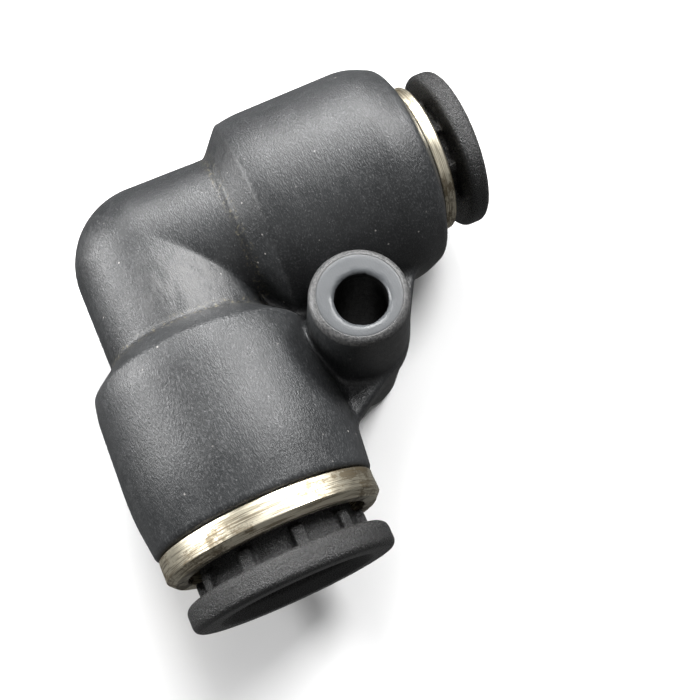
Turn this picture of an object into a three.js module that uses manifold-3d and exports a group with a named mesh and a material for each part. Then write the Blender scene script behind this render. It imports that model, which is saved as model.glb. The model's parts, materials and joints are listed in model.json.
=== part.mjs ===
// Reducing elbow with two push-in tube ports and a screw boss. Millimetres, +Z up.
//
// The large port opens along +X and the small port along +Y. Their axes cross at the elbow's
// corner. Each port holds, from its tube stop outwards: lip seal, backing ring, lock claw,
// collet, guide ring and release button. Every port piece is turned about the port's axis, so
// it is drawn as a profile of [station, radius] points, the station being the distance from
// the corner along the axis.

import * as THREE from "three";
import { mergeVertices } from "three/addons/utils/BufferGeometryUtils.js";
import Module from "manifold-3d";

const wasm = await Module();
wasm.setup();

// Driving dimensions of the body
const SLEEVE_RADIUS = 8.85;
const SLEEVE_RADIUS_AT_SHOULDER = 8.6;
const NECK_RADIUS = 6.3;
const CORNER_RADIUS = 6.28;
const SHOULDER_EDGE_RADIUS = 8.35;
const SHOULDER_RISE = 1.4;
const SHOULDER_ROOT_BEND = 0.5;
const SHOULDER_EDGE_BEND = 0.35;
const BOSS_CENTRE = 11.7;
const BOSS_RADIUS_AT_FACES = 3.55;
const BOSS_RADIUS_AT_MIDDLE = 3.9;
const BOSS_EDGE_RADIUS = 0.6;
const SCREW_HOLE_RADIUS = 1.9;
const SCREW_HOLE_OFFSET = 0.3;
const WEB_THICKNESS = 2.4;
const WEB_REACH = 18.3;
const WEB_SIDE = 8.3;
const WEB_ROOT = 5.0;

// Clearances and fineness
const GAP = 0.3;
const RUNNING_GAP = 0.25;
const TUBE_CLEARANCE = 0.12;
const CUT_MARGIN = 1.0;
const ROUND_STEPS = 40;
const SMALL_ROUND_STEPS = 32;
const EDGE_STEPS = 3;
const BEND_STEPS = 4;
const WEB_ARC_STEPS = 6;
const QUARTER_TURN = Math.PI / 2;

// Small shapes that both ports share
const SEAL_LIP_BITE = 0.12;
const SEAL_LIP_LENGTH = 0.9;
const SEAL_LIP_WALL = 0.6;
const SEAL_GROOVE_DEPTH = 1.2;
const SEAL_GROOVE_FLOOR = 0.9;
const BACKING_BORE_EASE = 0.1;
const TOOTH_BITE = 0.08;
const TOOTH_THINNING = 0.12;
const FINGER_TIP_CLEARANCE = 0.15;
const FINGER_TIP_LENGTH = 0.7;
const FINGER_SHARE = 0.7;
const RIB_STANDOFF = 0.2;

// The two tube ports. The shoulder is a cone from the neck out to its crisp edge. The sleeve's
// other end narrows from endStart to a soft brim, and then more steeply to the mouth.
const LARGE_PORT = {
  prefix: "large",
  tubeRadius: 5.0,
  flowRadius: 3.5,
  shoulderRoot: 7.2,
  shoulderEdge: 9.0,
  stopStation: 7.2,
  cavityStation: 9.8,
  cavityRadius: 7.7,
  endStart: 17.95,
  brim: 21.3,
  brimRadius: 8.4,
  brimBend: 0.15,
  mouth: 21.55,
  mouthRadius: 8.2,
  ringRadius: 8.25,
  ringFace: 23.7,
  ringChamfer: 0.5,
  ringMouthRadius: 6.85,
  ringMouthDepth: 1.65,
  throatThickness: 0.85,
  skirtWall: 0.5,
  flangeBack: 25.35,
  flangeFront: 27.3,
  flangeRadius: 7.75,
  flangeEdge: 0.55,
  entryChamfer: 0.8,
  buttonWall: 0.73,
  sealLength: 2.3,
  backingLength: 2.1,
  clawThickness: 0.3,
  clawReach: 1.0,
  clawFlat: 1.1,
  clawTeeth: 12,
  clawSlot: 0.9,
  colletFingers: 8,
  colletSlot: 0.8,
  ribs: 10,
  ribTurn: -13.75,
  ribHeight: 0.65,
  ribWidth: 1.0,
  travel: 1.3,
};

const SMALL_PORT = {
  prefix: "small",
  tubeRadius: 3.0,
  flowRadius: 2.1,
  shoulderRoot: 6.4,
  shoulderEdge: 8.15,
  stopStation: 9.6,
  cavityStation: 11.4,
  cavityRadius: 5.4,
  endStart: 19.0,
  brim: 21.2,
  brimRadius: 8.0,
  brimBend: 0.7,
  mouth: 21.95,
  mouthRadius: 6.2,
  ringRadius: 6.0,
  ringFace: 23.05,
  ringChamfer: 0.15,
  ringMouthRadius: 4.9,
  ringMouthDepth: 0.75,
  throatThickness: 0.75,
  skirtWall: 0.45,
  flangeBack: 24.1,
  flangeFront: 25.8,
  flangeRadius: 6.4,
  flangeEdge: 0.5,
  entryChamfer: 0.6,
  buttonWall: 0.63,
  sealLength: 1.9,
  backingLength: 1.8,
  clawThickness: 0.25,
  clawReach: 0.85,
  clawFlat: 0.85,
  clawTeeth: 10,
  clawSlot: 0.7,
  colletFingers: 6,
  colletSlot: 0.7,
  ribs: 8,
  ribTurn: 0,
  ribHeight: 0.6,
  ribWidth: 0.8,
  travel: 0.85,
};

// ---- Solids -------------------------------------------------------------------------------

// A closed geometry as a solid that can be cut and joined.
function solid(geometry) {
  const bare = geometry.clone();
  bare.deleteAttribute("normal");
  bare.deleteAttribute("uv");
  const merged = mergeVertices(bare, 1e-5);
  return new wasm.Manifold(
    new wasm.Mesh({
      numProp: 3,
      vertProperties: new Float32Array(merged.attributes.position.array),
      triVerts: new Uint32Array(merged.index.array),
    }),
  );
}

// A solid as a geometry for a mesh.
function geometryOf(piece) {
  const mesh = piece.getMesh();
  const geometry = new THREE.BufferGeometry();
  geometry.setAttribute("position", new THREE.BufferAttribute(new Float32Array(mesh.vertProperties), 3));
  geometry.setIndex(new THREE.BufferAttribute(new Uint32Array(mesh.triVerts), 1));
  geometry.computeVertexNormals();
  return geometry;
}

// A piece turned about the +X axis. The profile is a closed loop of [station, radius] points.
function turned(profile, steps = ROUND_STEPS) {
  const outline = profile.map(([station, radius]) => new THREE.Vector2(radius, station));
  outline.push(outline[0].clone());
  const area = THREE.ShapeUtils.area(outline);
  const geometry = new THREE.LatheGeometry(area < 0 ? outline.reverse() : outline, steps);
  geometry.rotateZ(-QUARTER_TURN);
  return solid(geometry);
}

// A plain rod about the +X axis, used as a cutter.
function rod(from, to, radius, steps = ROUND_STEPS) {
  return turned([[from, 0], [to, 0], [to, radius], [from, radius]], steps);
}

// A box given by its middle and its sizes.
function box(middle, size) {
  const geometry = new THREE.BoxGeometry(...size);
  geometry.translate(...middle);
  return solid(geometry);
}

// Copies of a solid spread evenly about the X axis, joined into one.
function spreadAround(piece, count) {
  let all = piece;
  for (let copy = 1; copy < count; copy += 1) {
    all = all.add(piece.rotate([(360 * copy) / count, 0, 0]));
  }
  return all;
}

// Points of a curve in the [station, radius] plane.
function pointsOf(curve, steps) {
  return curve.getPoints(steps).map((point) => [point.x, point.y]);
}

// A quarter ellipse in the [station, radius] plane, from one angle to another.
function roundEdge(station, radius, reachAlong, reachOut, fromAngle, toAngle, steps) {
  const clockwise = toAngle < fromAngle;
  const curve = new THREE.EllipseCurve(station, radius, reachAlong, reachOut, fromAngle, toAngle, clockwise);
  return pointsOf(curve, steps);
}

// ---- Body ---------------------------------------------------------------------------------

// A corner of an outline, softened over a given reach to both sides.
function softCorner(before, corner, after, reach) {
  const middle = new THREE.Vector2(...corner);
  const towards = (point) => new THREE.Vector2(...point).sub(middle).setLength(reach).add(middle);
  return pointsOf(new THREE.QuadraticBezierCurve(towards(before), middle, towards(after)), BEND_STEPS);
}

// The shoulder between neck and sleeve: a cone with a soft root and a crisper outer edge.
function shoulder(port) {
  const neck = [0, NECK_RADIUS];
  const root = [port.shoulderRoot, NECK_RADIUS];
  const edge = [port.shoulderEdge, SHOULDER_EDGE_RADIUS];
  const risen = [port.shoulderEdge + SHOULDER_RISE, SLEEVE_RADIUS_AT_SHOULDER];
  return [
    ...softCorner(neck, root, edge, SHOULDER_ROOT_BEND),
    ...softCorner(root, edge, risen, SHOULDER_EDGE_BEND),
    risen,
  ];
}

// The sleeve's outer end: a gentle cone, the brim, and a steeper cone to the mouth.
function sleeveEnd(port) {
  const start = [port.endStart, SLEEVE_RADIUS];
  const mouth = [port.mouth, port.mouthRadius];
  return [start, ...softCorner(start, [port.brim, port.brimRadius], mouth, port.brimBend), mouth];
}

// Neck and sleeve of one port, solid.
function arm(port) {
  return turned([[0, 0], [0, NECK_RADIUS], ...shoulder(port), ...sleeveEnd(port), [port.mouth, 0]]);
}

// Everything that is hollow in one port: flow way, tube pocket with its stop, and cavity.
function armHollow(port) {
  const flowEnd = port.stopStation + CUT_MARGIN;
  const flow = rod(-SMALL_PORT.flowRadius, flowEnd, port.flowRadius, SMALL_ROUND_STEPS);
  const pocketRadius = port.tubeRadius + TUBE_CLEARANCE;
  const pocket = rod(port.stopStation, port.cavityStation + CUT_MARGIN, pocketRadius);
  const cavity = rod(port.cavityStation, port.mouth + CUT_MARGIN, port.cavityRadius);
  return flow.add(pocket).add(cavity);
}

// The screw boss, widest at its middle, with rounded rims on two flat faces.
function boss() {
  const height = SLEEVE_RADIUS;
  const edge = BOSS_EDGE_RADIUS;
  const rim = BOSS_RADIUS_AT_FACES - edge;
  const lower = roundEdge(-height + edge, rim, edge, edge, Math.PI, QUARTER_TURN, EDGE_STEPS);
  const upper = roundEdge(height - edge, rim, edge, edge, QUARTER_TURN, 0, EDGE_STEPS);
  const profile = [[-height, 0], ...lower, [0, BOSS_RADIUS_AT_MIDDLE], ...upper, [height, 0]];
  return turned(profile, SMALL_ROUND_STEPS).rotate([0, -90, 0]).translate([BOSS_CENTRE, BOSS_CENTRE, 0]);
}

// The flat web in the inner corner, whose outer edge wraps around the boss.
function web() {
  const toSide = WEB_SIDE - BOSS_CENTRE;
  const toReach = WEB_REACH - BOSS_CENTRE;
  const tangent = Math.acos(BOSS_RADIUS_AT_MIDDLE / Math.hypot(toSide, toReach));
  const firstAngle = Math.atan2(toSide, toReach) + tangent;
  const lastAngle = QUARTER_TURN - firstAngle;
  const outline = new THREE.Shape();
  outline.moveTo(WEB_ROOT, WEB_ROOT);
  outline.lineTo(WEB_REACH, WEB_ROOT);
  outline.lineTo(WEB_REACH, WEB_SIDE);
  outline.absarc(BOSS_CENTRE, BOSS_CENTRE, BOSS_RADIUS_AT_MIDDLE, firstAngle, lastAngle, false);
  outline.lineTo(WEB_SIDE, WEB_REACH);
  outline.lineTo(WEB_ROOT, WEB_REACH);
  const options = { depth: WEB_THICKNESS, bevelEnabled: false, curveSegments: WEB_ARC_STEPS };
  const plate = new THREE.ExtrudeGeometry(outline, options);
  plate.translate(0, 0, -WEB_THICKNESS / 2);
  return solid(plate);
}

// The through hole for the screw, a little off the boss's middle.
function screwHole() {
  const reach = SLEEVE_RADIUS + CUT_MARGIN;
  const cutter = rod(-reach, reach, SCREW_HOLE_RADIUS, SMALL_ROUND_STEPS);
  return cutter.rotate([0, -90, 0]).translate([BOSS_CENTRE + SCREW_HOLE_OFFSET, BOSS_CENTRE, 0]);
}

function elbowBody() {
  const alongY = [0, 0, 90];
  const corner = solid(new THREE.SphereGeometry(CORNER_RADIUS, ROUND_STEPS, ROUND_STEPS / 2));
  const outside = arm(LARGE_PORT).add(arm(SMALL_PORT).rotate(alongY)).add(corner).add(web()).add(boss());
  const hollows = armHollow(LARGE_PORT).add(armHollow(SMALL_PORT).rotate(alongY)).add(screwHole());
  return outside.subtract(hollows);
}

// ---- Pieces of a port ---------------------------------------------------------------------

// Stations and radii that the pieces of one port share, from the tube stop outwards.
function layout(port) {
  const sealStart = port.cavityStation + GAP;
  const sealEnd = sealStart + port.sealLength;
  const backingStart = sealEnd + GAP;
  const backingEnd = backingStart + port.backingLength;
  const clawStart = backingEnd + GAP;
  const clawEnd = clawStart + port.clawThickness;
  const skirtStart = clawEnd + GAP;
  const ringMouthFloor = port.ringFace - port.ringMouthDepth;
  const throatFace = ringMouthFloor - port.throatThickness;
  const outer = port.cavityRadius - GAP;
  const bore = port.tubeRadius + TUBE_CLEARANCE;
  const buttonOuter = bore + port.buttonWall;
  const skirtInner = outer - port.skirtWall;
  return {
    sealStart,
    sealEnd,
    backingStart,
    backingEnd,
    clawStart,
    clawEnd,
    skirtStart,
    ringMouthFloor,
    throatFace,
    outer,
    bore,
    buttonOuter,
    skirtInner,
    colletInner: buttonOuter + GAP,
    colletOuter: skirtInner - GAP,
    colletEnd: throatFace - GAP,
    fingerTipEnd: skirtStart + 2 * FINGER_TIP_LENGTH,
  };
}

// Soft seal with a lip on the tube and a groove that the pressure opens.
function lipSeal(port) {
  const at = layout(port);
  const lip = port.tubeRadius - SEAL_LIP_BITE;
  return turned([
    [at.sealStart, at.outer - SEAL_LIP_WALL],
    [at.sealStart, at.outer],
    [at.sealEnd, at.outer],
    [at.sealEnd, port.tubeRadius + GAP],
    [at.sealStart + SEAL_LIP_LENGTH, lip],
    [at.sealStart, lip],
    [at.sealStart, lip + SEAL_LIP_WALL],
    [at.sealStart + SEAL_GROOVE_DEPTH, port.tubeRadius + SEAL_GROOVE_FLOOR],
  ]);
}

// Stiff ring behind the claw, dished to leave its teeth room.
function backingRing(port) {
  const at = layout(port);
  const inner = at.bore + BACKING_BORE_EASE;
  return turned([
    [at.backingStart, inner],
    [at.backingStart, at.outer],
    [at.backingEnd, at.outer],
    [at.backingEnd, at.outer - port.clawFlat + BACKING_BORE_EASE],
    [at.backingEnd - port.clawReach - GAP, inner],
  ]);
}

// Thin sprung ring whose teeth lean inwards, towards the tube stop.
function lockClaw(port) {
  const at = layout(port);
  const tip = port.tubeRadius - TOOTH_BITE;
  const flatInner = at.outer - port.clawFlat;
  const tipStation = at.clawStart - port.clawReach;
  const ring = turned([
    [at.clawStart, flatInner],
    [at.clawStart, at.outer],
    [at.clawEnd, at.outer],
    [at.clawEnd, flatInner - TOOTH_THINNING],
    [tipStation + port.clawThickness, tip],
    [tipStation, tip],
  ]);
  const slotReach = flatInner - TOOTH_THINNING;
  const slot = box([at.clawStart, 0, slotReach / 2], [4 * port.clawReach, port.clawSlot, slotReach]);
  return ring.subtract(spreadAround(slot, port.clawTeeth));
}

// Slotted collar whose finger tips close on the tube.
function collet(port) {
  const at = layout(port);
  const tip = port.tubeRadius + FINGER_TIP_CLEARANCE;
  const collar = turned([
    [at.skirtStart, tip],
    [at.skirtStart, at.colletOuter],
    [at.colletEnd, at.colletOuter],
    [at.colletEnd, at.colletInner],
    [at.fingerTipEnd, at.colletInner],
    [at.skirtStart + FINGER_TIP_LENGTH, tip],
  ]);
  const slotLength = (at.colletEnd - at.skirtStart) * FINGER_SHARE;
  const slotMiddle = [at.skirtStart + (slotLength - CUT_MARGIN) / 2, 0, at.outer / 2];
  const slot = box(slotMiddle, [slotLength + CUT_MARGIN, port.colletSlot, at.outer]);
  return collar.subtract(spreadAround(slot, port.colletFingers));
}

// Plated ring on the sleeve's end, with a skirt inside that holds the cartridge.
function guideRing(port) {
  const at = layout(port);
  const hole = at.buttonOuter + RUNNING_GAP;
  const back = port.mouth + GAP;
  return turned([
    [at.skirtStart, at.skirtInner],
    [at.skirtStart, at.outer],
    [back, at.outer],
    [back, port.ringRadius],
    [port.ringFace - port.ringChamfer, port.ringRadius],
    [port.ringFace, port.ringRadius - port.ringChamfer],
    [port.ringFace, port.ringMouthRadius],
    [at.ringMouthFloor, port.ringMouthRadius],
    [at.ringMouthFloor, hole],
    [at.throatFace, hole],
    [at.throatFace, at.skirtInner],
  ]);
}

// Release button: a tube with a flange to push, and ribs on its neck behind the flange.
function releaseButton(port) {
  const at = layout(port);
  const noseEnd = at.fingerTipEnd + port.travel + GAP;
  const edge = port.flangeEdge;
  const rim = port.flangeRadius - edge;
  const body = turned([
    [noseEnd, at.bore],
    [noseEnd, at.buttonOuter - GAP],
    [noseEnd + GAP, at.buttonOuter],
    [port.flangeBack, at.buttonOuter],
    ...roundEdge(port.flangeBack + edge, rim, edge, edge, Math.PI, QUARTER_TURN, EDGE_STEPS),
    ...roundEdge(port.flangeFront - edge, rim, edge, edge, QUARTER_TURN, 0, EDGE_STEPS),
    [port.flangeFront, at.bore + port.entryChamfer],
    [port.flangeFront - port.entryChamfer, at.bore],
  ]);
  const ribStart = port.ringFace + RIB_STANDOFF;
  const ribLength = port.flangeBack + edge - ribStart;
  const ribRoot = (at.bore + at.buttonOuter) / 2;
  const ribReach = at.buttonOuter + port.ribHeight - ribRoot;
  const rib = box(
    [ribStart + ribLength / 2, 0, ribRoot + ribReach / 2],
    [ribLength, port.ribWidth, ribReach],
  );
  return body.add(spreadAround(rib.rotate([port.ribTurn, 0, 0]), port.ribs));
}

// ---- Assembly -----------------------------------------------------------------------------

const MATERIALS = {
  mouldedBlack: { color: 0x24262a, roughness: 0.55, metalness: 0.0 },
  buttonBlack: { color: 0x1b1c1f, roughness: 0.45, metalness: 0.0 },
  platedRing: { color: 0xc9bfa0, roughness: 0.28, metalness: 1.0 },
  stainless: { color: 0xb9bcc0, roughness: 0.3, metalness: 1.0 },
  sealRubber: { color: 0x141414, roughness: 0.8, metalness: 0.0 },
  stiffPlastic: { color: 0xd8d4c6, roughness: 0.6, metalness: 0.0 },
};

const PORT_PIECES = [
  ["lip_seal", lipSeal, "sealRubber"],
  ["backing_ring", backingRing, "stiffPlastic"],
  ["lock_claw", lockClaw, "stainless"],
  ["collet", collet, "platedRing"],
  ["guide_ring", guideRing, "platedRing"],
  ["release_button", releaseButton, "buttonBlack"],
];

function namedMesh(name, piece, materialName) {
  const mesh = new THREE.Mesh(geometryOf(piece), new THREE.MeshStandardMaterial(MATERIALS[materialName]));
  mesh.name = name;
  return mesh;
}

function portGroup(port) {
  const group = new THREE.Group();
  for (const [name, make, materialName] of PORT_PIECES) {
    group.add(namedMesh(`${port.prefix}_${name}`, make(port), materialName));
  }
  return group;
}

// The origin is under the middle of the fitting's box, on the surface that it lies on.
const fitting = new THREE.Group();
fitting.position.set(
  -(LARGE_PORT.flangeFront - SLEEVE_RADIUS) / 2,
  -(SMALL_PORT.flangeFront - SLEEVE_RADIUS) / 2,
  SLEEVE_RADIUS,
);
fitting.add(namedMesh("body", elbowBody(), "mouldedBlack"));
fitting.add(portGroup(LARGE_PORT));
const smallPort = portGroup(SMALL_PORT);
smallPort.rotation.z = QUARTER_TURN;
fitting.add(smallPort);

const assembly = new THREE.Group();
assembly.add(fitting);

export default assembly;
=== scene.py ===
# The looks of a reducing elbow with two push-in tube ports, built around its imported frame.
#
# Lengths are in millimetres until a mesh is made. Places are measured from the elbow's corner,
# where the axes of the two ports cross. A station is a distance from the corner along a port's
# axis, and a radius is a distance from that axis.
#
# The body, buttons, collets and claws are the zero levels of distance fields, so each corner and
# joint on them is a real round. The rings and seals are turned from outlines with round corners.

import json
import math
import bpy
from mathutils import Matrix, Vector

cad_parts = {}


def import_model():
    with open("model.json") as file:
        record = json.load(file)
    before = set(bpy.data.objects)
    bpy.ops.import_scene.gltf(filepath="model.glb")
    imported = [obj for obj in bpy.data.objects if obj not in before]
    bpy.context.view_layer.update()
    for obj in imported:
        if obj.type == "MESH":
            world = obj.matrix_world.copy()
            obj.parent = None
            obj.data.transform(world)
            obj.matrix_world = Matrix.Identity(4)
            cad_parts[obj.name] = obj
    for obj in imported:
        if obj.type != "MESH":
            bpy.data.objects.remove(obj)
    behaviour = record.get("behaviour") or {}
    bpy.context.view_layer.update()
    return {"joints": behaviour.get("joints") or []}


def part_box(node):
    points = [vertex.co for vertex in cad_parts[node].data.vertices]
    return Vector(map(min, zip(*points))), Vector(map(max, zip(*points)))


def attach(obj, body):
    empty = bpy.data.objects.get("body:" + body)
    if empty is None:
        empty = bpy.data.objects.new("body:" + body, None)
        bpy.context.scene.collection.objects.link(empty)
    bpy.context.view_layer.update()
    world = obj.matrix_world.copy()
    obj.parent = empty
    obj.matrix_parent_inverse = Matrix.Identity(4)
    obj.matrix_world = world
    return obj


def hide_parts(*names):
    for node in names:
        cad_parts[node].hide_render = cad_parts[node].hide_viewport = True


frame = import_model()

from types import SimpleNamespace

import bpy
import numpy as np
from mathutils import Quaternion, Vector

MM = 0.001

# Body
NECK_RADIUS = 6.3
SLEEVE_RADIUS = 8.85
SLEEVE_RADIUS_AT_SHOULDER = 8.6
SHOULDER_EDGE_RADIUS = 8.35
SHOULDER_RISE = 1.4
BOSS_CENTRE = 11.7
BOSS_RADIUS_AT_FACES = 3.55
BOSS_RADIUS_AT_MIDDLE = 3.9
BOSS_EDGE = 0.6
SCREW_HOLE_RADIUS = 1.9
SCREW_HOLE_OFFSET = 0.3
WEB_THICKNESS = 2.4
WEB_REACH = 18.3
WEB_SIDE = 8.3
WEB_ROOT = 5.0

# Rounds on the body, and how far from the corner the crease between the necks is full grown
SHOULDER_ROOT_ROUND = 0.5
SHOULDER_EDGE_ROUND = 0.35
CREASE_ROUND = 0.15
CREASE_GROWTH = 14.0
BOSS_FILLET = 0.5
WEB_FILLET = 0.6
WEB_EDGE = 0.4
SLEEVE_BLEND = 8.0
SLEEVE_END_ROUND = 0.15
MOUTH_ROUND = 0.2
HOLE_ROUND = 0.07

# Clearances between the pieces of a port. The rings are drawn pressed home, nearer to the mouth
# than the gap that the frame keeps there.
RING_SEATING = 0.2
GAP = 0.3
RUNNING_GAP = 0.25
TUBE_CLEARANCE = 0.12

# Fineness
BODY_STEP = 0.25
BUTTON_STEP = 0.15
COLLET_STEP = 0.13
CLAW_STEP = 0.09
TABLE_PITCH = 0.1
FINE_TABLE_PITCH = 0.05
TABLE_MARGIN = 2.0
ARC_STEPS = 6
CURVE_STEPS = 24
TURNED_STEPS = 192
SETTLE_ROUNDS = 5
SLOPE_REACH = 0.01


# ---- Places and sizes that the frame gives ---------------------------------------------------

def corner_of_elbow():
    """The point where the two port axes cross, in millimetres in the row frame."""
    origins = {joint["name"]: joint.get("pos_m") for joint in frame["joints"]}
    along_x = origins["large_swivel"]
    along_y = origins["small_swivel"]
    return np.array([along_y[0], along_x[1], along_x[2]]) / MM


CORNER = corner_of_elbow()


def extent(node, axis):
    """First and last station of a node along an axis, and its outer radius."""
    low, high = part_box(node)
    first = low[axis] / MM - CORNER[axis]
    last = high[axis] / MM - CORNER[axis]
    return first, last, (high.z - low.z) / 2 / MM


def port(prefix, axis, **own):
    """Every size of one port: what the frame's boxes give, and its own shape values."""
    at = SimpleNamespace(prefix=prefix, axis=axis, **own)
    at.seal_start, at.seal_end, at.outer = extent(f"{prefix}_lip_seal", axis)
    at.backing_start, at.backing_end, _ = extent(f"{prefix}_backing_ring", axis)
    at.claw_tip, at.claw_end, _ = extent(f"{prefix}_lock_claw", axis)
    at.collet_start, at.collet_end, at.collet_outer = extent(f"{prefix}_collet", axis)
    at.skirt_start, at.ring_face, at.ring_radius = extent(f"{prefix}_guide_ring", axis)
    at.nose, at.flange_front, at.flange_radius = extent(f"{prefix}_release_button", axis)
    at.bore = at.tube_radius + TUBE_CLEARANCE
    at.button_outer = at.bore + at.button_wall
    at.cavity_radius = at.outer + GAP
    at.skirt_inner = at.collet_outer + GAP
    at.mouth = at.ring_back - GAP
    return at


LARGE = port(
    "large", 0,
    tube_radius=5.0, flow_radius=3.5, shoulder_root=7.2, shoulder_edge=9.0, stop=7.2, cavity=9.8,
    end_start=17.95, end_blend=20.0, brim=21.3, brim_radius=8.4, brim_round=0.3, mouth_radius=8.2,
    ring_back=21.85, ring_chamfer=0.5, ring_mouth_radius=6.85, ring_mouth_depth=1.65, throat=0.85,
    flange_back=25.35, flange_edge=0.55, entry_chamfer=0.8, button_wall=0.73,
    claw_thickness=0.3, claw_reach=1.0, claw_flat=1.1, claw_teeth=12, claw_slot=0.9,
    fingers=8, finger_slot=0.8, ribs=10, rib_turn=-13.75, rib_height=0.65, rib_width=1.0,
)
SMALL = port(
    "small", 1,
    tube_radius=3.0, flow_radius=2.1, shoulder_root=6.4, shoulder_edge=8.15, stop=9.6, cavity=11.4,
    end_start=19.0, end_blend=5.0, brim=21.2, brim_radius=8.0, brim_round=1.1, mouth_radius=6.2,
    ring_back=22.25, ring_chamfer=0.15, ring_mouth_radius=4.9, ring_mouth_depth=0.75, throat=0.75,
    flange_back=24.1, flange_edge=0.5, entry_chamfer=0.6, button_wall=0.63,
    claw_thickness=0.25, claw_reach=0.85, claw_flat=0.85, claw_teeth=10, claw_slot=0.7,
    fingers=6, finger_slot=0.7, ribs=8, rib_turn=0.0, rib_height=0.6, rib_width=0.8,
)
PORTS = (LARGE, SMALL)

# Small shapes that both ports share
LIP_BITE = 0.12
LIP_LENGTH = 0.9
LIP_WALL = 0.6
GROOVE_DEPTH = 1.2
GROOVE_FLOOR = 0.9
SEAL_ROUND = 0.15
BACKING_EASE = 0.1
BACKING_ROUND = 0.15
TOOTH_BITE = 0.08
TOOTH_THINNING = 0.12
TOOTH_ROUND = 0.05
FINGER_TIP_CLEARANCE = 0.15
FINGER_TIP_LENGTH = 0.7
FINGER_SHARE = 0.7
COLLET_ROUND = 0.08
RING_ROUND = 0.1
RING_FINE_ROUND = 0.05
NOSE_CHAMFER = 0.3
NECK_FILLET = 0.3
ENTRY_ROUND = 0.15
RIB_STANDOFF = 0.2
RIB_ROUND = 0.22
RIB_FILLET = 0.25


# ---- Outlines --------------------------------------------------------------------------------

def round_corners(corners):
    """A closed outline through [u, v, round] corners, each with an arc of its own radius."""
    outline = []
    for before, corner, after in zip(np.roll(corners, 1, axis=0), corners, np.roll(corners, -1, axis=0)):
        place = np.array(corner[:2])
        if corner[2] == 0:
            outline.append(place)
            continue
        to_before = before[:2] - place
        to_after = after[:2] - place
        to_before = to_before / np.linalg.norm(to_before)
        to_after = to_after / np.linalg.norm(to_after)
        half = math.acos(np.clip(to_before @ to_after, -1, 1)) / 2
        middle = to_before + to_after
        centre = place + middle / np.linalg.norm(middle) * corner[2] / math.sin(half)
        start = place + to_before * corner[2] / math.tan(half) - centre
        end = place + to_after * corner[2] / math.tan(half) - centre
        sweep = math.pi - 2 * half
        for share in np.linspace(0, 1, ARC_STEPS + 1):
            turned = math.sin((1 - share) * sweep) * start + math.sin(share * sweep) * end
            outline.append(centre + turned / math.sin(sweep))
    return np.array(outline)


def outline_distance(outline, u, v):
    """Signed distance from points of a plane to a closed outline, negative inside."""
    nearest = np.full(np.broadcast(u, v).shape, np.inf)
    inside = np.zeros(nearest.shape, bool)
    for (u1, v1), (u2, v2) in zip(outline, np.roll(outline, -1, axis=0)):
        run = u2 - u1
        rise = v2 - v1
        share = np.clip(((u - u1) * run + (v - v1) * rise) / (run * run + rise * rise), 0, 1)
        nearest = np.minimum(nearest, (u - u1 - share * run) ** 2 + (v - v1 - share * rise) ** 2)
        if rise != 0:
            inside ^= ((v1 > v) != (v2 > v)) & (u < u1 + (v - v1) * run / rise)
    return np.where(inside, -1, 1) * np.sqrt(nearest)


class OutlineField:
    """The distance to an outline, read from a table, so that millions of points are quick."""

    def __init__(self, outline, pitch=TABLE_PITCH):
        self.pitch = pitch
        self.low = outline.min(axis=0) - TABLE_MARGIN
        self.counts = np.ceil((outline.max(axis=0) + TABLE_MARGIN - self.low) / pitch).astype(int)
        u, v = (low + pitch * np.arange(count + 1) for low, count in zip(self.low, self.counts))
        self.table = outline_distance(outline, u[:, None], v[None, :])

    def __call__(self, u, v):
        u = np.clip((u - self.low[0]) / self.pitch, 0, self.counts[0] - 1e-6)
        v = np.clip((v - self.low[1]) / self.pitch, 0, self.counts[1] - 1e-6)
        row = u.astype(int)
        column = v.astype(int)
        u = u - row
        v = v - column
        near = self.table[row, column] * (1 - v) + self.table[row, column + 1] * v
        far = self.table[row + 1, column] * (1 - v) + self.table[row + 1, column + 1] * v
        return near * (1 - u) + far * u


# ---- Fields ----------------------------------------------------------------------------------

def joined(first, second, fillet):
    """Two solids as one, with a fillet of that radius where they meet."""
    return np.maximum(fillet, np.minimum(first, second)) - np.hypot(
        np.maximum(fillet - first, 0), np.maximum(fillet - second, 0)
    )


def shared(first, second, edge):
    """What two solids share, with its edge rounded."""
    return -joined(-first, -second, edge)


def without(solid, cutter, edge):
    """A solid once another is cut away, with the cut's edge rounded."""
    return shared(solid, -cutter, edge)


def around(port, x, y, z):
    """Station and radius of points about a port's axis."""
    station, aside = (x, y) if port.axis == 0 else (y, x)
    return station, np.hypot(aside, z)


def repeated(port, x, y, z, count, turn=0.0):
    """Points folded into one of count equal sectors: outwards along its middle, and across it.

    The first sector's middle is upwards, turned about the port's axis by a number of degrees.
    """
    aside = -y if port.axis == 0 else x
    sector = 2 * math.pi / count
    angle = np.arctan2(aside, z) - math.radians(turn)
    angle = (angle + sector / 2) % sector - sector / 2
    radius = np.hypot(aside, z)
    return radius * np.cos(angle), radius * np.sin(angle)


def block(edge, *reaches):
    """A block with round edges, from how far points lie past each pair of its sides."""
    past = [reach + edge for reach in reaches]
    outside = np.sqrt(sum(np.maximum(reach, 0) ** 2 for reach in past))
    inside = past[0]
    for reach in past[1:]:
        inside = np.maximum(inside, reach)
    return outside + np.minimum(inside, 0) - edge


# ---- Meshes ----------------------------------------------------------------------------------

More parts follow.
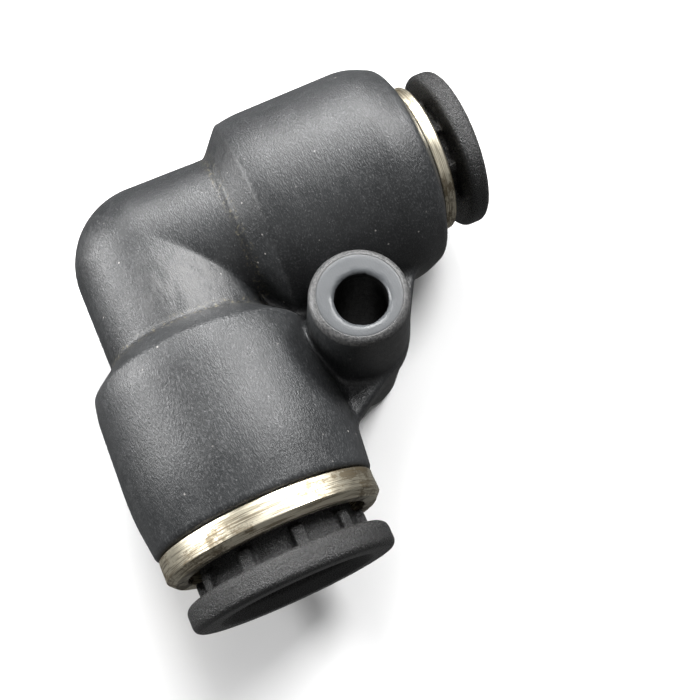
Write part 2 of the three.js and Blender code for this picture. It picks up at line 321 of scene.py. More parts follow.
def level_surface(field, low, high, step):
    """Vertices and four-sided faces of a field's zero level, one vertex in each cell it passes."""
    low = np.array(low) - 2 * step
    counts = np.ceil((np.array(high) + 2 * step - low) / step).astype(int) + 1
    x, y, z = (start + step * np.arange(count) for start, count in zip(low, counts))
    values = field(x[:, None, None], y[None, :, None], z[None, None, :])
    solid = values < 0
    places = []
    cells = []
    for axis in range(3):
        along, side, up = np.roll(np.eye(3, dtype=int), -axis, axis=0)
        ahead = np.roll(solid, -1, axis=axis)
        edges = np.argwhere(solid != ahead)
        near = values[tuple(edges.T)]
        far = values[tuple((edges + along).T)]
        place = edges + along * (near / (near - far))[:, None]
        ring = np.stack([edges - side - up, edges - up, edges, edges - side], axis=1)
        ring[near > 0] = ring[near > 0][:, ::-1]
        places.append(place)
        cells.append(ring)
    places = np.repeat(np.concatenate(places), 4, axis=0)
    cells = np.concatenate(cells)
    numbers = np.ravel_multi_index(tuple(cells.reshape(-1, 3).T), tuple(counts))
    _, vertex = np.unique(numbers, return_inverse=True)
    sums = [np.bincount(vertex, weights=places[:, axis]) for axis in range(3)]
    vertices = np.stack(sums, axis=1) / np.bincount(vertex)[:, None] * step + low
    return settled(field, vertices, step), vertex.reshape(-1, 4)


def settled(field, vertices, step):
    """Vertices moved along the field's slope until they lie on its zero level."""
    for _ in range(SETTLE_ROUNDS):
        value = field(*vertices.T)
        slope = np.empty_like(vertices)
        for axis in range(3):
            shift = np.zeros(3)
            shift[axis] = SLOPE_REACH
            slope[:, axis] = field(*(vertices + shift).T) - field(*(vertices - shift).T)
        slope /= 2 * SLOPE_REACH
        move = -value[:, None] * slope / np.maximum((slope**2).sum(axis=1), 0.1)[:, None]
        vertices = vertices + np.clip(move, -step / 2, step / 2)
    return vertices


def turned_surface(port, outline):
    """Vertices and four-sided faces of an outline turned about a port's axis."""
    count = len(outline)
    angles = 2 * math.pi * np.arange(TURNED_STEPS) / TURNED_STEPS
    station = np.tile(outline[:, 0], TURNED_STEPS)
    aside = (np.cos(angles)[:, None] * outline[:, 1]).ravel()
    z = (np.sin(angles)[:, None] * outline[:, 1]).ravel()
    order = (station, aside, z) if port.axis == 0 else (aside, station, z)
    near = np.arange(count)
    after = (near + 1) % count
    faces = []
    for turn in range(TURNED_STEPS):
        here = turn * count
        there = (turn + 1) % TURNED_STEPS * count
        faces.append(np.stack([here + near, here + after, there + after, there + near], axis=1))
    faces = np.concatenate(faces)
    after_outline = np.roll(outline, -1, axis=0)
    area = (outline[:, 0] * after_outline[:, 1] - after_outline[:, 0] * outline[:, 1]).sum()
    if (area > 0) == (port.axis == 0):
        faces = faces[:, ::-1]
    return np.stack(order, axis=1), faces


def make_piece(node, body, material, surface):
    """Adds a smooth piece that stands for a node of the frame and rides on its body."""
    vertices, faces = surface
    mesh = bpy.data.meshes.new(f"{node}_fine")
    mesh.from_pydata(((vertices + CORNER) * MM).tolist(), [], faces.tolist())
    mesh.validate()
    mesh.shade_smooth()
    mesh.materials.append(material)
    piece = bpy.data.objects.new(f"{node}_fine", mesh)
    bpy.context.scene.collection.objects.link(piece)
    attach(piece, body)
    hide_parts(node)


# ---- Body ------------------------------------------------------------------------------------

def arm_field(port):
    """Neck and sleeve of one port, solid, from the corner to the mouth."""
    return OutlineField(round_corners([
        [0, 0, 0],
        [0, NECK_RADIUS, 0],
        [port.shoulder_root, NECK_RADIUS, SHOULDER_ROOT_ROUND],
        [port.shoulder_edge, SHOULDER_EDGE_RADIUS, SHOULDER_EDGE_ROUND],
        [port.shoulder_edge + SHOULDER_RISE, SLEEVE_RADIUS_AT_SHOULDER, SLEEVE_BLEND],
        [port.end_start, SLEEVE_RADIUS, port.end_blend],
        [port.brim, port.brim_radius, port.brim_round],
        [port.mouth, port.mouth_radius, SLEEVE_END_ROUND],
        [port.mouth, 0, 0],
    ]), FINE_TABLE_PITCH)


def hollow_field(port):
    """Flow way, tube pocket with its stop, and cavity of one port."""
    beyond = port.mouth + 1
    return OutlineField(np.array([
        [-SMALL.flow_radius, -port.flow_radius],
        [-SMALL.flow_radius, port.flow_radius],
        [port.stop, port.flow_radius],
        [port.stop, port.bore],
        [port.cavity, port.bore],
        [port.cavity, port.cavity_radius],
        [beyond, port.cavity_radius],
        [beyond, -port.cavity_radius],
    ]))


def boss_field():
    """The screw boss about its own axis, widest at its middle."""
    height = SLEEVE_RADIUS
    return OutlineField(round_corners([
        [-height, -BOSS_RADIUS_AT_FACES, 0],
        [-height, BOSS_RADIUS_AT_FACES, BOSS_EDGE],
        [0, BOSS_RADIUS_AT_MIDDLE, height],
        [height, BOSS_RADIUS_AT_FACES, BOSS_EDGE],
        [height, -BOSS_RADIUS_AT_FACES, 0],
    ]))


def web_field():
    """The web's outline in plan, whose outer edge wraps around the boss."""
    to_side = WEB_SIDE - BOSS_CENTRE
    to_reach = WEB_REACH - BOSS_CENTRE
    tangent = math.acos(BOSS_RADIUS_AT_MIDDLE / math.hypot(to_side, to_reach))
    first = math.atan2(to_side, to_reach) + tangent
    angles = np.linspace(first, math.pi / 2 - first, CURVE_STEPS)
    wrap = BOSS_CENTRE + BOSS_RADIUS_AT_MIDDLE * np.stack([np.cos(angles), np.sin(angles)], axis=1)
    ends = np.array([[WEB_SIDE, WEB_REACH], [WEB_ROOT, WEB_REACH], [WEB_ROOT, WEB_ROOT]])
    return OutlineField(np.concatenate([[[WEB_REACH, WEB_ROOT], [WEB_REACH, WEB_SIDE]], wrap, ends]))


def body_field():
    """The whole moulded body."""
    arms = [arm_field(each) for each in PORTS]
    hollows = [hollow_field(each) for each in PORTS]
    boss = boss_field()
    web = web_field()

    def field(x, y, z):
        crease = CREASE_ROUND * np.clip((x + y) / CREASE_GROWTH, 0.01, 1)
        large, small = (arm(*around(each, x, y, z)) for arm, each in zip(arms, PORTS))
        body = joined(large, small, crease)
        body = np.minimum(body, np.sqrt(x * x + y * y + z * z) - NECK_RADIUS)
        plate = shared(web(x + 0 * z, y + 0 * z), np.abs(z) - WEB_THICKNESS / 2, WEB_EDGE)
        body = joined(body, plate, WEB_FILLET)
        post = boss(z + 0 * x, np.hypot(x - BOSS_CENTRE, y - BOSS_CENTRE) + 0 * z)
        body = joined(body, post, BOSS_FILLET)
        for hollow, each in zip(hollows, PORTS):
            body = without(body, hollow(*around(each, x, y, z)), MOUTH_ROUND)
        hole = np.hypot(x - BOSS_CENTRE - SCREW_HOLE_OFFSET, y - BOSS_CENTRE) - SCREW_HOLE_RADIUS
        return without(body, hole + 0 * z, HOLE_ROUND)

    return field


def body_surface():
    reach = [LARGE.mouth, SMALL.mouth, SLEEVE_RADIUS]
    return level_surface(body_field(), [-SLEEVE_RADIUS] * 3, reach, BODY_STEP)


# ---- Pieces of a port ------------------------------------------------------------------------

def port_surface(port, field, first, last, radius, step):
    """The zero level of a field that lies about a port's axis."""
    low = [first, -radius, -radius] if port.axis == 0 else [-radius, first, -radius]
    high = [last, radius, radius] if port.axis == 0 else [radius, last, radius]
    return level_surface(field, low, high, step)


def lip_seal(port):
    """Soft seal with a lip on the tube and a groove that the pressure opens."""
    lip = port.tube_radius - LIP_BITE
    return turned_surface(port, round_corners([
        [port.seal_start, port.outer - LIP_WALL, SEAL_ROUND],
        [port.seal_start, port.outer, SEAL_ROUND],
        [port.seal_end, port.outer, SEAL_ROUND],
        [port.seal_end, port.tube_radius + GAP, SEAL_ROUND],
        [port.seal_start + LIP_LENGTH, lip, SEAL_ROUND],
        [port.seal_start, lip, SEAL_ROUND],
        [port.seal_start, lip + LIP_WALL, SEAL_ROUND],
        [port.seal_start + GROOVE_DEPTH, port.tube_radius + GROOVE_FLOOR, SEAL_ROUND],
    ]))


def backing_ring(port):
    """Stiff ring behind the claw, dished to leave its teeth room."""
    inner = port.bore + BACKING_EASE
    return turned_surface(port, round_corners([
        [port.backing_start, inner, BACKING_ROUND],
        [port.backing_start, port.outer, BACKING_ROUND],
        [port.backing_end, port.outer, BACKING_ROUND],
        [port.backing_end, port.outer - port.claw_flat + BACKING_EASE, BACKING_ROUND],
        [port.backing_end - port.claw_reach - GAP, inner, BACKING_ROUND],
    ]))


def lock_claw(port):
    """Thin sprung ring whose teeth lean inwards, towards the tube stop."""
    tip = port.tube_radius - TOOTH_BITE
    flat_inner = port.outer - port.claw_flat
    claw_start = port.claw_end - port.claw_thickness
    slot_reach = flat_inner - TOOTH_THINNING
    ring = OutlineField(round_corners([
        [claw_start, flat_inner, 0],
        [claw_start, port.outer, TOOTH_ROUND],
        [port.claw_end, port.outer, TOOTH_ROUND],
        [port.claw_end, slot_reach, 0],
        [port.claw_tip + port.claw_thickness, tip, TOOTH_ROUND],
        [port.claw_tip, tip, TOOTH_ROUND],
    ]), FINE_TABLE_PITCH)

    def field(x, y, z):
        outwards, across = repeated(port, x, y, z, port.claw_teeth)
        slot = block(TOOTH_THINNING, outwards - slot_reach, np.abs(across) - port.claw_slot / 2)
        return without(ring(*around(port, x, y, z)), slot, TOOTH_ROUND)

    return port_surface(port, field, port.claw_tip, port.claw_end, port.outer, CLAW_STEP)


def collet(port):
    """Slotted collar whose finger tips close on the tube."""
    tip = port.tube_radius + FINGER_TIP_CLEARANCE
    inner = port.button_outer + GAP
    collar = OutlineField(round_corners([
        [port.collet_start, tip, COLLET_ROUND],
        [port.collet_start, port.collet_outer, COLLET_ROUND],
        [port.collet_end, port.collet_outer, COLLET_ROUND],
        [port.collet_end, inner, COLLET_ROUND],
        [port.collet_start + 2 * FINGER_TIP_LENGTH, inner, COLLET_ROUND],
        [port.collet_start + FINGER_TIP_LENGTH, tip, COLLET_ROUND],
    ]), FINE_TABLE_PITCH)
    slot_end = port.collet_start + (port.collet_end - port.collet_start) * FINGER_SHARE

    def field(x, y, z):
        station, radius = around(port, x, y, z)
        outwards, across = repeated(port, x, y, z, port.fingers)
        half = port.finger_slot / 2
        slot = block(half, station - slot_end, np.abs(across) - half)
        return without(collar(station + 0 * radius, radius + 0 * station), slot, COLLET_ROUND)

    return port_surface(
        port, field, port.collet_start, port.collet_end, port.collet_outer, COLLET_STEP
    )


def guide_ring(port):
    """Plated ring on the sleeve's end, with a skirt inside that holds the cartridge."""
    hole = port.button_outer + RUNNING_GAP
    mouth_floor = port.ring_face - port.ring_mouth_depth
    throat_face = mouth_floor - port.throat
    return turned_surface(port, round_corners([
        [port.skirt_start, port.skirt_inner, RING_FINE_ROUND],
        [port.skirt_start, port.outer, RING_FINE_ROUND],
        [port.ring_back - RING_SEATING, port.outer, RING_FINE_ROUND],
        [port.ring_back - RING_SEATING, port.ring_radius, RING_ROUND],
        [port.ring_face - port.ring_chamfer, port.ring_radius, RING_ROUND],
        [port.ring_face, port.ring_radius - port.ring_chamfer, RING_ROUND],
        [port.ring_face, port.ring_mouth_radius, RING_ROUND],
        [mouth_floor, port.ring_mouth_radius, RING_ROUND],
        [mouth_floor, hole, RING_ROUND],
        [throat_face, hole, RING_ROUND],
        [throat_face, port.skirt_inner, RING_FINE_ROUND],
    ]))


def button_outline(port):
    """Tube and flange of the release button."""
    return round_corners([
        [port.nose, port.bore, ENTRY_ROUND],
        [port.nose, port.button_outer - NOSE_CHAMFER, 0],
        [port.nose + NOSE_CHAMFER, port.button_outer, 0],
        [port.flange_back, port.button_outer, NECK_FILLET],
        [port.flange_back, port.flange_radius, port.flange_edge],
        [port.flange_front, port.flange_radius, port.flange_edge],
        [port.flange_front, port.bore + port.entry_chamfer, ENTRY_ROUND],
        [port.flange_front - port.entry_chamfer, port.bore, ENTRY_ROUND],
    ])


def release_button(port):
    """The button, with ribs on its neck behind the flange."""
    turned = OutlineField(button_outline(port))
    rib_start = port.ring_face + RIB_STANDOFF
    rib_end = port.flange_back + port.flange_edge
    rib_middle = (rib_start + rib_end) / 2
    rib_root = (port.bore + port.button_outer) / 2
    rib_top = port.button_outer + port.rib_height
    rib_height = (rib_root + rib_top) / 2

    def field(x, y, z):
        station, radius = around(port, x, y, z)
        outwards, across = repeated(port, x, y, z, port.ribs, port.rib_turn)
        rib = block(
            RIB_ROUND,
            np.abs(station - rib_middle) - (rib_end - rib_start) / 2,
            np.abs(outwards - rib_height) - (rib_top - rib_root) / 2,
            np.abs(across) - port.rib_width / 2,
        )
        return joined(turned(station + 0 * radius, radius + 0 * station), rib, RIB_FILLET)

    return port_surface(
        port, field, port.nose, port.flange_front, port.flange_radius, BUTTON_STEP
    )


# ---- Materials -------------------------------------------------------------------------------

# A painted highlight: the lighter patch on the large neck, its place from the corner, and how far it
# reaches
NECK_PAINTED_HIGHLIGHT = (4.5, 1.5, 6.0)
NECK_PAINTED_HIGHLIGHT_REACH = 5.0
PAINTED_HIGHLIGHT_CORE = 0.3

# Radii of the marks on the boss's face: its smooth middle, a painted shadow line around it and the worn
# rim
BOSS_FACE_RADIUS = 3.0
BOSS_SHADOW_LINE_RADIUS = 3.02
BOSS_RIM_RADIUS = 3.3

# Sizes of the plastic's clouds, mottle and grain
CLOUD_SIZE = 5.0
MOTTLE_SIZE = 0.7
GRAIN_SIZE = 0.12
STREAK = 0.45

# Dust as the spacing of its places, the speck's radius and the share of the places that have one
FINE_DUST = (0.3, 0.05, 0.3)
COARSE_DUST = (0.9, 0.09, 0.2)

# Colours
DARK_PLASTIC = (0.018, -0.06)
PALE_PLASTIC = (0.027, -0.05)
STAIN = (0.13, 0.10, 0.06, 1.0)
TURNING_LINE = (0.24, 0.19, 0.12, 1.0)
BROWN_DUST = (0.26, 0.23, 0.15, 1.0)
RING_TINT = (0.86, 0.80, 0.64, 1.0)
INNER_TINT = (0.70, 0.68, 0.62, 1.0)


class Shader:
    """A material whose nodes are added by calls that give back the new node's output."""

    def __init__(self, name, **constants):
        self.material = bpy.data.materials.new(name)
        self.material.use_nodes = True
        self.tree = self.material.node_tree
        self.surface = self.tree.nodes["Principled BSDF"]
        for socket, value in constants.items():
            self.surface.inputs[socket.replace("_", " ")].default_value = value
        place = self.node("ShaderNodeTexCoord", output="Object")
        self.place = self.node("ShaderNodeVectorMath", operation="SCALE", Vector=place, Scale=1 / MM)

    def node(self, kind, output=0, **settings):
        """A new node. A setting is one of its properties, or a socket by its name with _ for a space."""
        node = self.tree.nodes.new(kind)
        for name, value in settings.items():
            if name in node.bl_rna.properties:
                setattr(node, name, value)
            else:
                named = (name, name.replace("_", " "))
                matches = (s for s in node.inputs if s.identifier in named or s.name in named)
                self.feed(next(matches), value)
        return node.outputs[output]

    def feed(self, socket, value):
        if isinstance(value, bpy.types.NodeSocket):
            self.tree.links.new(value, socket)
        else:
            socket.default_value = value

    def sum(self, operation, first, second=0.0, third=0.0):
        """One arithmetic node."""
        node = self.tree.nodes.new("ShaderNodeMath")
        node.operation = operation
        for socket, value in zip(node.inputs, (first, second, third)):
            self.feed(socket, value)
        return node.outputs[0]

    def noise(self, size, detail=2.0, roughness=0.5, place=None):
        """Noise whose lumps are about size millimetres across."""
        return self.node(
            "ShaderNodeTexNoise", Vector=place or self.place, Scale=1 / size,
            Detail=detail, Roughness=roughness,
        )

    def stretched(self, *factors):
        """The place, made longer or shorter along each axis."""
        return self.node(
            "ShaderNodeVectorMath", operation="MULTIPLY", Vector=self.place, Vector_001=factors
        )

    def ramp(self, value, low, high, to_low=0.0, to_high=1.0):
        """A value between low and high, turned smoothly into one between to_low and to_high."""
        node = self.tree.nodes.new("ShaderNodeMapRange")
        node.interpolation_type = "SMOOTHSTEP"
        for socket, number in zip(node.inputs, (value, low, high, to_low, to_high)):
            self.feed(socket, number)
        return node.outputs[0]

    def mix(self, share, first, second):
        """A colour between two colours."""
        node = self.tree.nodes.new("ShaderNodeMix")
        node.data_type = "RGBA"
        self.feed(node.inputs["Factor"], share)
        for socket, colour in zip([s for s in node.inputs if s.type == "RGBA"], (first, second)):
            self.feed(socket, colour)
        return next(s for s in node.outputs if s.type == "RGBA")

    def bump(self, height, depth, below=None):
        """A normal bent by a height between 0 and 1 that stands for depth millimetres."""
        node = self.tree.nodes.new("ShaderNodeBump")
        node.inputs["Distance"].default_value = depth * MM
        self.feed(node.inputs["Height"], height)
        if below is not None:
            self.feed(node.inputs["Normal"], below)
        return node.outputs[0]

    def finish(self, **inputs):
        for socket, value in inputs.items():
            self.feed(self.surface.inputs[socket.replace("_", " ")], value)
        return self.material


def grey(level, warmth=0.0):
    """A grey as a colour, warmer or cooler by a small share."""
    return (level * (1 + warmth), level, level * (1 - warmth), 1.0)


def specks(shader, spacing, size, share):
    """Sparse specks with a radius of size millimetres: 1 on a speck and 0 between them."""
    cell = shader.tree.nodes.new("ShaderNodeTexVoronoi")
    shader.feed(cell.inputs["Vector"], shader.place)
    cell.inputs["Scale"].default_value = 1 / spacing
    near = shader.ramp(cell.outputs["Distance"], size * 0.5 / spacing, size / spacing, 1.0, 0.0)
    chosen = shader.node("ShaderNodeSeparateColor", Color=cell.outputs["Color"])
    return shader.sum("MULTIPLY", near, shader.sum("LESS_THAN", chosen, share))


def radius_about(shader, *fixed):
    """Distance of a place from an axis, given by its two fixed coordinates (None along the axis)."""
    keep = tuple(0.0 if value is None else 1.0 for value in fixed)
    middle = tuple(0.0 if value is None else value + start for value, start in zip(fixed, CORNER))
    flat = shader.stretched(*keep)
    return shader.node(
        "ShaderNodeVectorMath", output="Value", operation="DISTANCE", Vector=flat, Vector_001=middle
    )


def band(shader, value, middle, half, soft):
    """1 where a value is within half of a middle, falling to 0 over a soft edge."""
    away = shader.sum("ABSOLUTE", shader.sum("SUBTRACT", value, middle))
    return shader.ramp(away, half, half + soft, 1.0, 0.0)


def shoulder_dust_and_highlight(shader, port):
    """1 on the edge and the root of a port's shoulder, where dust and wear gather; the edge's mark is
    also a painted highlight.
    """
    fixed = (None, 0.0, 0.0) if port.axis == 0 else (0.0, None, 0.0)
    parts = shader.node("ShaderNodeSeparateXYZ", output=port.axis, Vector=shader.place)
    station = shader.sum("SUBTRACT", parts, float(CORNER[port.axis]))
    radius = radius_about(shader, *fixed)
    edge = shader.sum(
        "MULTIPLY",
        band(shader, station, port.shoulder_edge, 0.12, 0.15),
        band(shader, radius, SHOULDER_EDGE_RADIUS, 0.15, 0.15),
    )
    root = shader.sum(
        "MULTIPLY",
        band(shader, station, port.shoulder_root, 0.25, 0.35),
        band(shader, radius, NECK_RADIUS, 0.3, 0.35),
    )
    return edge, root


def near_point(shader, place, radius):
    """1 at a point of the body, falling to 0 at a radius from it."""
    away = shader.node(
        "ShaderNodeVectorMath", output="Value", operation="DISTANCE",
        Vector=shader.place, Vector_001=tuple(np.array(place) + CORNER),
    )
    return shader.ramp(away, radius * PAINTED_HIGHLIGHT_CORE, radius, 1.0, 0.0)


def on_large_side(shader):
    """1 on the large port's side of the crease between the necks, 0 on the other."""
    parts = shader.node("ShaderNodeSeparateXYZ", output=0, Vector=shader.place)
    along_small = parts.node.outputs[1]
    difference = shader.sum("SUBTRACT", parts, along_small)
    middle = float(CORNER[0] - CORNER[1])
    return shader.ramp(difference, middle, middle + 0.3)


def boss_marks(shader, colour):
    """The boss's face as a mask, and the body's colour with that face, its worn rim, a painted shadow
    line around the face and painted shade in its hole.
    """
    height = shader.node("ShaderNodeSeparateXYZ", output=2, Vector=shader.place)
    from_boss = radius_about(shader, BOSS_CENTRE, BOSS_CENTRE, None)
    from_hole = radius_about(shader, BOSS_CENTRE + SCREW_HOLE_OFFSET, BOSS_CENTRE, None)
    top = CORNER[2] + SLEEVE_RADIUS
    at_face = band(shader, height, top, BOSS_EDGE, 0.1)
    in_face = shader.ramp(from_boss, BOSS_FACE_RADIUS, BOSS_FACE_RADIUS + 0.1, 1.0, 0.0)
    face = shader.sum("MULTIPLY", at_face, in_face)
    rim = shader.sum("MULTIPLY", at_face, band(shader, from_boss, BOSS_RIM_RADIUS, 0.22, 0.1))
    # Painted shadow: a dark line between the face and the rim.
    line = shader.sum("MULTIPLY", at_face, band(shader, from_boss, BOSS_SHADOW_LINE_RADIUS, 0.03, 0.04))
    colour = shader.mix(face, colour, grey(0.075, -0.06))
    worn = shader.ramp(shader.noise(0.2, detail=4.0, roughness=0.7), 0.4, 0.65, 0.15, 0.7)
    colour = shader.mix(shader.sum("MULTIPLY", rim, worn), colour, grey(0.14, 0.02))
    colour = shader.mix(shader.sum("MULTIPLY", line, 0.7), colour, grey(0.01))
    # Painted shade: the inside of the screw hole below the face is made nearly black.
    below_face = shader.ramp(height, top - 0.3, top - 0.1, 1.0, 0.0)
    in_hole = shader.ramp(from_hole, SCREW_HOLE_RADIUS + 0.05, SCREW_HOLE_RADIUS + 0.1, 1.0, 0.0)
    return face, shader.mix(shader.sum("MULTIPLY", below_face, in_hole), colour, grey(0.006))


def moulded_plastic():
    """Charcoal plastic with a streaky moulded grain, dust in its creases, a worn boss rim, painted
    highlights and painted shade.
    """
    shader = Shader("moulded_plastic", Specular_IOR_Level=0.5)
    streaked = shader.stretched(STREAK, 1.0, 1.0)
    cloud = shader.noise(CLOUD_SIZE, detail=3.0)
    mottle = shader.noise(MOTTLE_SIZE, detail=5.0, roughness=0.7, place=streaked)
    grain = shader.noise(GRAIN_SIZE, detail=3.0, roughness=0.7, place=streaked)
    colour = shader.mix(shader.ramp(cloud, 0.35, 0.65), grey(*DARK_PLASTIC), grey(*PALE_PLASTIC))
    colour = shader.mix(shader.ramp(mottle, 0.45, 0.7, 0.0, 0.4), colour, grey(0.045, -0.03))
    colour = shader.mix(shader.ramp(grain, 0.5, 0.68, 0.0, 0.6), colour, grey(0.10, -0.02))

    # Painted highlight: a lighter patch on the large neck, only on its side of the crease between the
    # necks.
    near_painted_highlight = near_point(shader, NECK_PAINTED_HIGHLIGHT, NECK_PAINTED_HIGHLIGHT_REACH)
    painted_highlight = shader.sum("MULTIPLY", near_painted_highlight, on_large_side(shader))
    painted_highlight = shader.sum("MULTIPLY", painted_highlight, shader.ramp(mottle, 0.3, 0.65, 0.1, 0.8))
    colour = shader.mix(painted_highlight, colour, grey(0.11))
    fine_dust = specks(shader, *FINE_DUST)
    fine_dust = shader.sum("MULTIPLY", fine_dust, shader.ramp(cloud, 0.4, 0.6, 0.2, 0.6))
    colour = shader.mix(fine_dust, colour, grey(0.22))
    coarse_dust = specks(shader, *COARSE_DUST)
    coarse_dust = shader.sum("MULTIPLY", coarse_dust, shader.ramp(cloud, 0.45, 0.6, 0.2, 0.9))
    colour = shader.mix(coarse_dust, colour, grey(0.42, 0.05))
    patchy = shader.ramp(shader.noise(0.3, detail=5.0, roughness=0.75), 0.52, 0.7, 0.0, 0.6)
    for each in PORTS:
        edge, root = shoulder_dust_and_highlight(shader, each)
        # Dust and a painted highlight along the shoulder's edge, and brown dust at its root.
        colour = shader.mix(shader.sum("MULTIPLY", edge, patchy), colour, grey(0.16))
        colour = shader.mix(shader.sum("MULTIPLY", root, patchy), colour, BROWN_DUST)
    face, colour = boss_marks(shader, colour)

    roughness = shader.ramp(mottle, 0.3, 0.7, 0.3, 0.42)
    smoother = shader.sum("SUBTRACT", 1.0, shader.sum("MULTIPLY", face, 0.8))
    normal = shader.bump(shader.sum("MULTIPLY", grain, smoother), 0.045)
    normal = shader.bump(shader.sum("MULTIPLY", mottle, smoother), 0.02, normal)
    return shader.finish(Base_Color=colour, Roughness=roughness, Normal=normal)


def button_plastic():
    """Black acetal with a coarse spark-eroded grain that sparkles."""
    shader = Shader("button_plastic", Specular_IOR_Level=0.6)
    grain = shader.noise(0.14, detail=3.0, roughness=0.7)
    cloud = shader.noise(2.0, detail=3.0)
    colour = shader.mix(cloud, grey(0.012), grey(0.024))
    colour = shader.mix(shader.ramp(grain, 0.58, 0.72, 0.0, 0.4), colour, grey(0.15, 0.01))
    roughness = shader.ramp(grain, 0.35, 0.65, 0.2, 0.42)
    return shader.finish(Base_Color=colour, Roughness=roughness, Normal=shader.bump(grain, 0.13))


def plated_metal(name, tint, port):
    """Nickel plate with stains and with turning lines around a port's axis."""
    shader = Shader(name, Metallic=1.0)
    along = [0.03, 0.03, 0.03]
    along[port.axis] = 1.0
    around_axis = shader.stretched(*along)
    lines = shader.noise(0.09, detail=2.0, roughness=0.6, place=around_axis)
    spread = shader.stretched(*(0.5 + 0.5 * share for share in along))
    stain = shader.noise(1.5, detail=6.0, roughness=0.75, place=spread)
    colour = shader.mix(shader.ramp(stain, 0.47, 0.6, 0.0, 0.85), tint, STAIN)
    colour = shader.mix(shader.ramp(lines, 0.44, 0.62, 0.0, 0.75), colour, TURNING_LINE)
    roughness = shader.ramp(stain, 0.4, 0.7, 0.34, 0.55)
    return shader.finish(Base_Color=colour, Roughness=roughness, Normal=shader.bump(lines, 0.02))


def spring_steel():
    """Bright stainless strip, a little brushed."""
    shader = Shader("spring_steel", Metallic=1.0)
    brush = shader.noise(0.2, detail=3.0)
    colour = shader.mix(brush, grey(0.5, 0.01), grey(0.66, 0.01))
    roughness = shader.ramp(brush, 0.3, 0.7, 0.22, 0.36)
    return shader.finish(Base_Color=colour, Roughness=roughness, Normal=shader.bump(brush, 0.006))


def seal_rubber():
    """Black nitrile with a dull bloom."""
    shader = Shader("seal_rubber", Specular_IOR_Level=0.35)
    bloom = shader.noise(0.8, detail=4.0)
    colour = shader.mix(bloom, grey(0.012), grey(0.03))
    roughness = shader.ramp(bloom, 0.3, 0.7, 0.6, 0.8)
    return shader.finish(Base_Color=colour, Roughness=roughness, Normal=shader.bump(bloom, 0.02))


def backing_plastic():
    """Off-white stiff plastic."""
    shader = Shader("backing_plastic", Specular_IOR_Level=0.5)
    cloud = shader.noise(1.2, detail=3.0)
    colour = shader.mix(cloud, grey(0.55, 0.05), grey(0.66, 0.04))
    roughness = shader.ramp(cloud, 0.3, 0.7, 0.45, 0.6)
    return shader.finish(Base_Color=colour, Roughness=roughness, Normal=shader.bump(cloud, 0.01))


# ---- Stage -----------------------------------------------------------------------------------

CAMERA_AIM = (12.472, 10.774, 0.0)
CAMERA_DISTANCE = 80.05
CAMERA_AZIMUTH = 62.92
CAMERA_ELEVATION = 71.82
CAMERA_ROLL = 2.75
CAMERA_LENS = 54
FLOOR_SIZE = 2.0
FLOOR_DROP = 0.02
# The lamps light the floor only near the fitting, so past this it glows like the backdrop
FLOOR_LIT_TO = 150.0
FLOOR_GLOWS_FROM = 450.0
SKY_SEEN = 0.95
SKY_LIGHT = 0.12

# Each light's direction in the camera's right, up and back axes, its distance and size in metres,
# and its power in watts
LIGHTS = {
    "top": ((-0.12, 0.91, 0.38), 0.35, 0.16, 1.75),
    "upper_right": ((0.5, 0.72, 0.45), 0.35, 0.13, 1.6),
    "left": ((-0.92, 0.22, 0.29), 0.35, 0.17, 1.95),
    "overhead": ((0.05, 0.68, 0.73), 0.4, 0.3, 0.6),
    "front_fill": ((0.39, -0.28, 0.88), 0.4, 0.2, 0.1),
}


def camera():
    """The camera, above the fitting and a little to its side."""
    azimuth = math.radians(CAMERA_AZIMUTH)
    elevation = math.radians(CAMERA_ELEVATION)
    back = Vector((
        math.sin(azimuth) * math.cos(elevation),
        -math.cos(azimuth) * math.cos(elevation),
        math.sin(elevation),
    ))
    data = bpy.data.cameras.new("camera")
    data.lens = CAMERA_LENS
    data.clip_start = MM
    seen = bpy.data.objects.new("camera", data)
    bpy.context.scene.collection.objects.link(seen)
    aim = Vector(CORNER) + Vector(CAMERA_AIM)
    seen.location = (aim + back * CAMERA_DISTANCE) * MM
    seen.rotation_mode = "QUATERNION"
    level = (-back).to_track_quat("-Z", "Y")
    seen.rotation_quaternion = level @ Quaternion((0, 0, 1), math.radians(CAMERA_ROLL))
    bpy.context.scene.camera = seen
    return seen


def softbox(seen, name, direction, distance, size, power):
    """A square area light towards a direction given in the camera's axes."""
    data = bpy.data.lights.new(name, "AREA")
    data.size = size
    data.energy = power
    lamp = bpy.data.objects.new(name, data)
    bpy.context.scene.collection.objects.link(lamp)
    towards = (seen.rotation_quaternion @ Vector(direction)).normalized()
    lamp.location = Vector(CORNER * MM) + towards * distance
    lamp.rotation_mode = "QUATERNION"
    lamp.rotation_quaternion = towards.to_track_quat("Z", "Y")


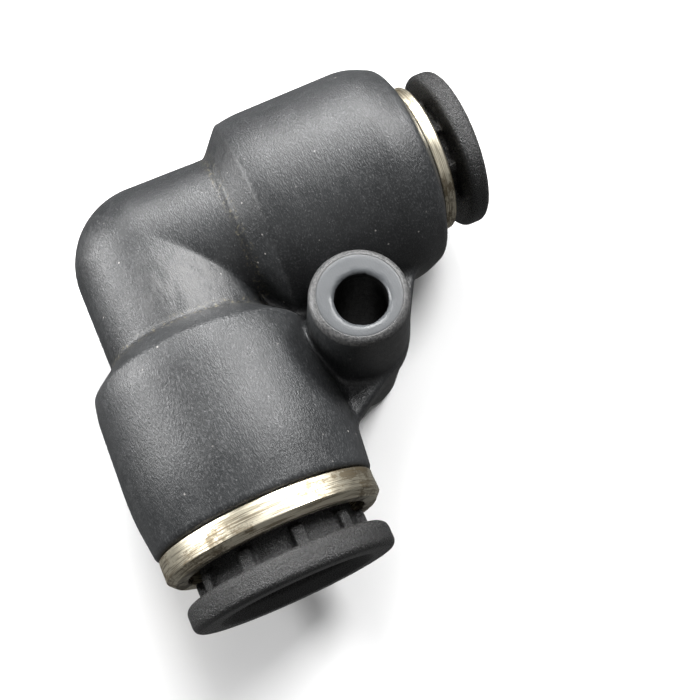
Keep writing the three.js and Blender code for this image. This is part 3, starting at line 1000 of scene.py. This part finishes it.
def floor():
    """A plain pale floor under the fitting, which doesn't light its underside."""
    half = FLOOR_SIZE / 2
    mesh = bpy.data.meshes.new("floor")
    corners = [(-half, -half, 0), (half, -half, 0), (half, half, 0), (-half, half, 0)]
    mesh.from_pydata(corners, [], [(0, 1, 2, 3)])
    shader = Shader("pale_floor", Specular_IOR_Level=0.1)
    shade = shader.mix(shader.noise(30.0), grey(0.80), grey(0.84))
    roughness = shader.ramp(shader.noise(5.0), 0.3, 0.7, 0.7, 0.9)
    away = shader.node("ShaderNodeVectorMath", output="Value", operation="LENGTH", Vector=shader.place)
    glow = shader.ramp(away, FLOOR_LIT_TO, FLOOR_GLOWS_FROM, 0.0, SKY_SEEN)
    mesh.materials.append(shader.finish(Base_Color=shade, Roughness=roughness, Emission_Strength=glow))
    piece = bpy.data.objects.new("floor", mesh)
    piece.location.z = -FLOOR_DROP * MM
    piece.visible_diffuse = False
    piece.visible_glossy = False
    bpy.context.scene.collection.objects.link(piece)


def world():
    """A pale backdrop that gives the fitting only a little light."""
    sky = bpy.data.worlds.new("studio")
    sky.use_nodes = True
    background = sky.node_tree.nodes["Background"]
    background.inputs["Color"].default_value = (1.0, 1.0, 1.0, 1.0)
    ray = sky.node_tree.nodes.new("ShaderNodeLightPath")
    strength = sky.node_tree.nodes.new("ShaderNodeMapRange")
    strength.inputs["To Min"].default_value = SKY_LIGHT
    strength.inputs["To Max"].default_value = SKY_SEEN
    sky.node_tree.links.new(ray.outputs["Is Camera Ray"], strength.inputs["Value"])
    sky.node_tree.links.new(strength.outputs["Result"], background.inputs["Strength"])
    bpy.context.scene.world = sky


# ---- Everything together ---------------------------------------------------------------------

def build_pieces():
    button = button_plastic()
    steel = spring_steel()
    rubber = seal_rubber()
    stiff = backing_plastic()
    make_piece("body", "fitting", moulded_plastic(), body_surface())
    for each in PORTS:
        name = each.prefix
        plated = plated_metal(f"{name}_plated_ring", RING_TINT, each)
        plated_inside = plated_metal(f"{name}_plated_inner", INNER_TINT, each)
        make_piece(f"{name}_lip_seal", "fitting", rubber, lip_seal(each))
        make_piece(f"{name}_backing_ring", "fitting", stiff, backing_ring(each))
        make_piece(f"{name}_guide_ring", "fitting", plated, guide_ring(each))
        make_piece(f"{name}_lock_claw", f"{name}_grip", steel, lock_claw(each))
        make_piece(f"{name}_collet", f"{name}_grip", plated_inside, collet(each))
        pushed = release_button(each)
        make_piece(f"{name}_release_button", f"{name}_button", button, pushed)


def light_stage():
    seen = camera()
    for name, settings in LIGHTS.items():
        softbox(seen, name, *settings)
    floor()
    world()
    bpy.context.scene.view_settings.view_transform = "Standard"


build_pieces()
light_stage()
